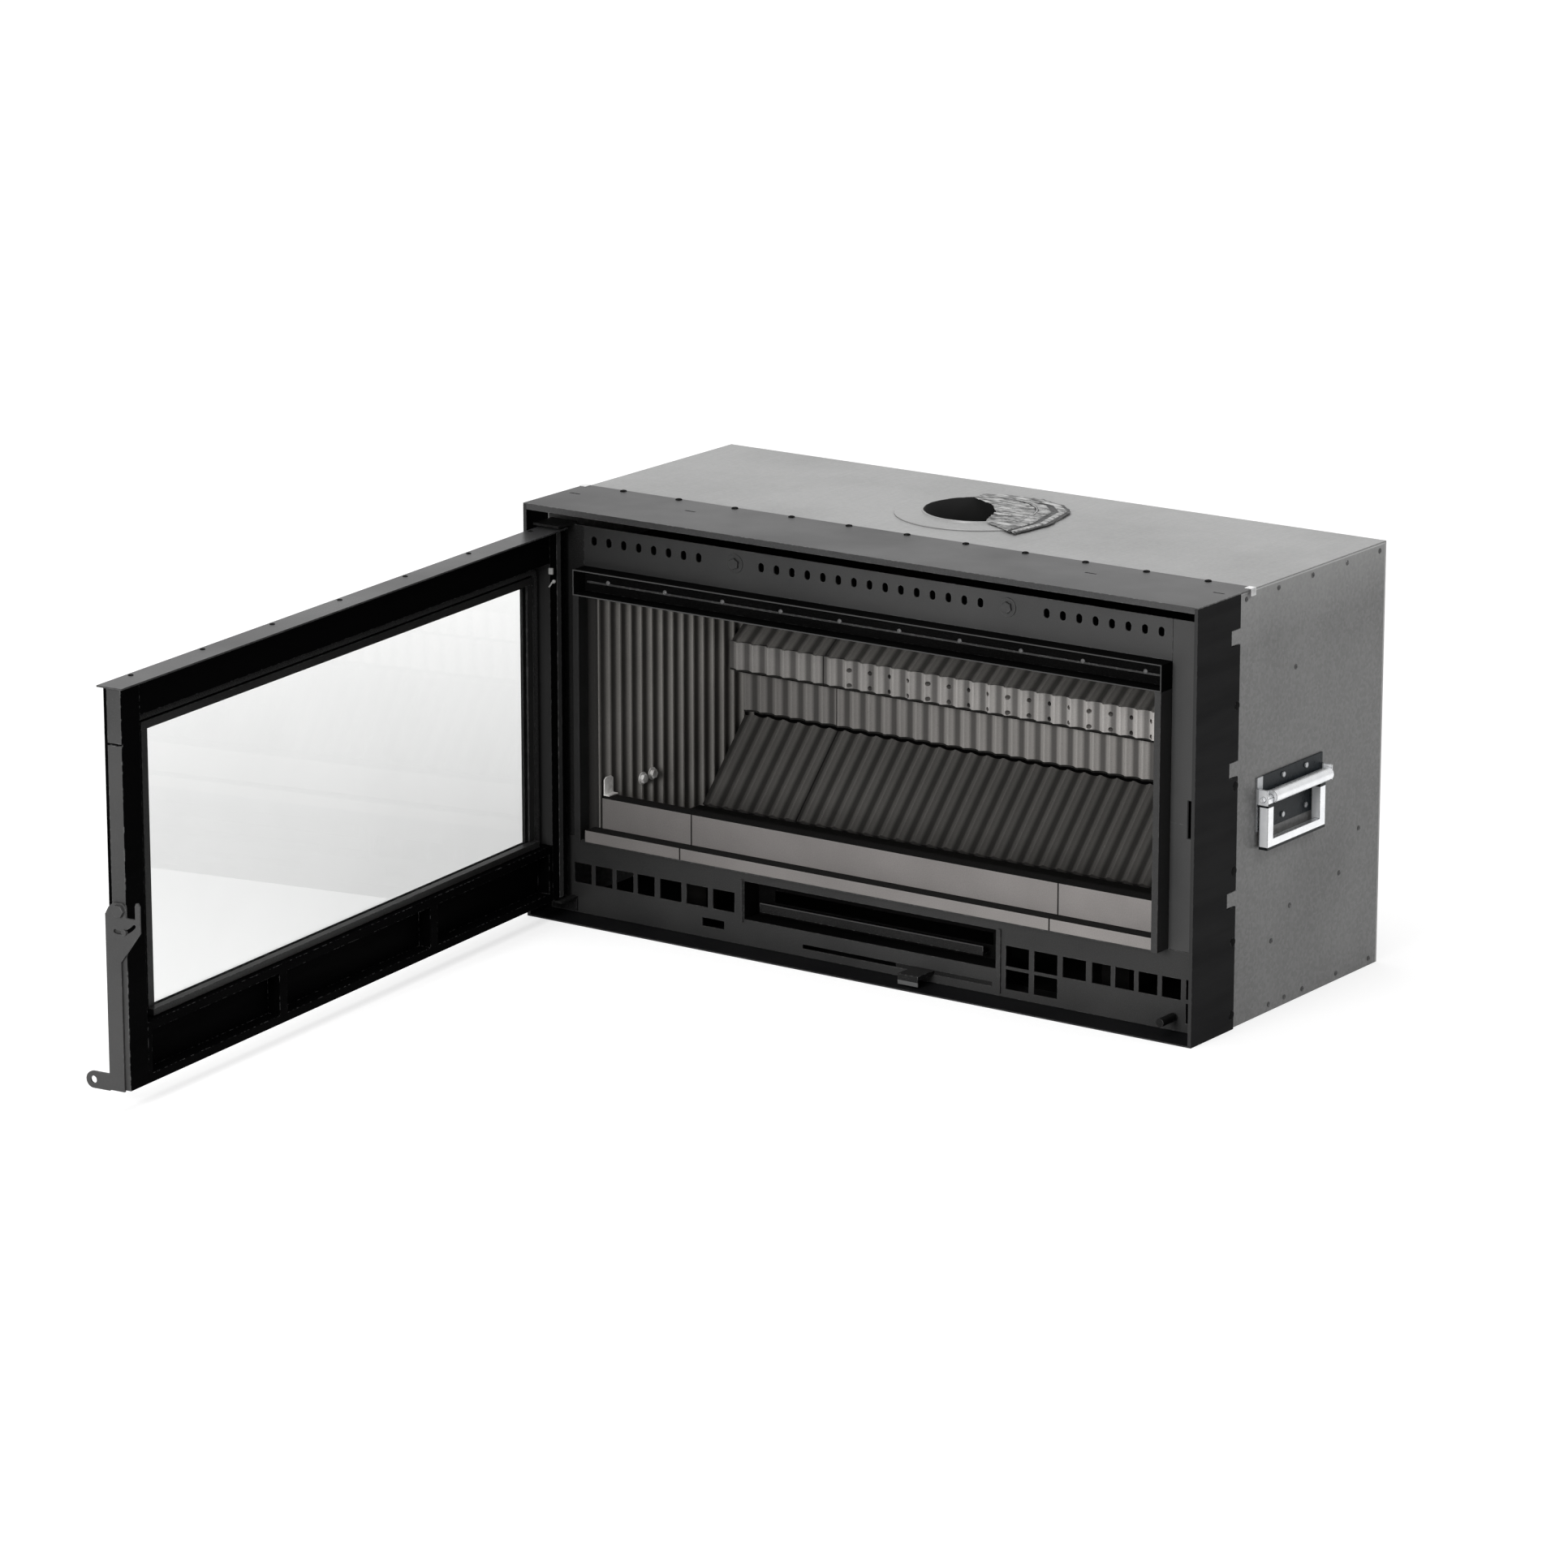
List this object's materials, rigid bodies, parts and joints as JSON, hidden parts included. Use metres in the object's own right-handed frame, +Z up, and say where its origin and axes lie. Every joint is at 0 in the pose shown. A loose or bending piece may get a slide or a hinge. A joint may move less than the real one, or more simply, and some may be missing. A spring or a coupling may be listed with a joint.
{
  "type": "fireplace insert",
  "caption": "Wide sheet-steel fireplace insert with a side-hung glazed door, fluted refractory firebox, slotted air panels, top flue collar and folding carry handles.",
  "frame": {"origin": "centre of the base, on the surface the insert stands on", "axes": "+X to the right seen from the front, +Y from the door side to the rear, +Z up"},
  "size_m": [1.033, 1.384, 0.546],
  "materials": {
    "casing_black": "semi-gloss black paint",
    "body_sheet": "light grey coated sheet",
    "plate_grey": "matt dark grey heat-proof paint",
    "control_black": "satin black",
    "shell_steel": "matt grey heat-proof paint",
    "lining_grey": "matt cast refractory",
    "hearth_block": "matt cast refractory",
    "door_black": "satin black paint",
    "door_glass": "clear heat-proof glass",
    "gasket_rope": "woven rope",
    "retainer_grey": "light grey paint",
    "lever_grey": "satin dark grey",
    "handle_zinc": "bright zinc plate",
    "fixings": "zinc plated"
  },
  "bodies": {
    "insert": {"casing_top": "casing_black", "casing_left": "casing_black", "casing_right": "casing_black", "casing_base": "casing_black", "casing_screws": "fixings", "body_top": "body_sheet", "body_left": "body_sheet", "body_right": "body_sheet", "body_rear": "body_sheet", "body_base": "body_sheet", "body_screws": "fixings", "post_left": "plate_grey", "post_right": "plate_grey", "latch_keeper": "control_black", "lower_panel": "plate_grey", "control_box": "plate_grey", "damper_bar": "plate_grey", "slot_panel": "plate_grey", "slot_panel_bolts": "fixings", "lip_left": "plate_grey", "lip_right": "plate_grey", "airwash_channel": "plate_grey", "airwash_rivets": "fixings", "shell_left": "shell_steel", "shell_right": "shell_steel", "shell_back": "shell_steel", "shell_roof": "shell_steel", "shell_floor": "shell_steel", "flue_collar": "shell_steel", "lining_left": "lining_grey", "lining_right": "lining_grey", "air_row": "lining_grey", "air_duct": "shell_steel", "lower_row": "lining_grey", "slope_panels": "lining_grey", "crown_strip": "lining_grey", "baffle": "lining_grey", "hearth_floor": "lining_grey", "log_guard": "hearth_block", "hearth_front": "hearth_block", "hinge_top": "plate_grey", "hinge_bottom": "plate_grey", "handle_plate_left": "handle_zinc", "handle_plate_right": "handle_zinc"},
    "door": {"door_stile_hinge": "door_black", "door_stile_latch": "door_black", "door_rail_top": "door_black", "door_rail_bottom": "door_black", "door_top_plate": "door_black", "door_top_screws": "fixings", "door_glass": "door_glass", "glass_retainer": "retainer_grey", "door_gasket": "gasket_rope", "latch_bolt": "fixings"},
    "latch": {"latch_lever": "lever_grey"},
    "air_control": {"air_slider": "plate_grey"},
    "pull_control": {"pull_rod": "control_black"},
    "handle_left": {"handle_bail_left": "handle_zinc"},
    "handle_right": {"handle_bail_right": "handle_zinc"}
  },
  "joints": [
    {"name": "door_hinge", "type": "hinge", "parent": "insert", "child": "door", "pos_m": [-0.47, -0.202, 0.268], "axis": [0, 0, 1], "range_deg": [-15.2, 84.8]},
    {"name": "latch_pivot", "type": "hinge", "parent": "door", "child": "latch", "pos_m": [-0.38064, -1.15081, 0.245], "axis": [-0.0906, 0.9959, 0], "range_deg": [-2, 18]},
    {"name": "air_slide", "type": "slide", "parent": "insert", "child": "air_control", "axis": [-1, 0, 0], "range_m": [0, 0.165]},
    {"name": "pull_slide", "type": "slide", "parent": "insert", "child": "pull_control", "axis": [0, -1, 0], "range_m": [0, 0.03]},
    {"name": "handle_left_swing", "type": "hinge", "parent": "insert", "child": "handle_left", "pos_m": [-0.508, -0.002, 0.2785], "axis": [0, 1, 0], "range_deg": [0, 90]},
    {"name": "handle_right_swing", "type": "hinge", "parent": "insert", "child": "handle_right", "pos_m": [0.508, -0.002, 0.2785], "axis": [0, -1, 0], "range_deg": [0, 90]}
  ]
}
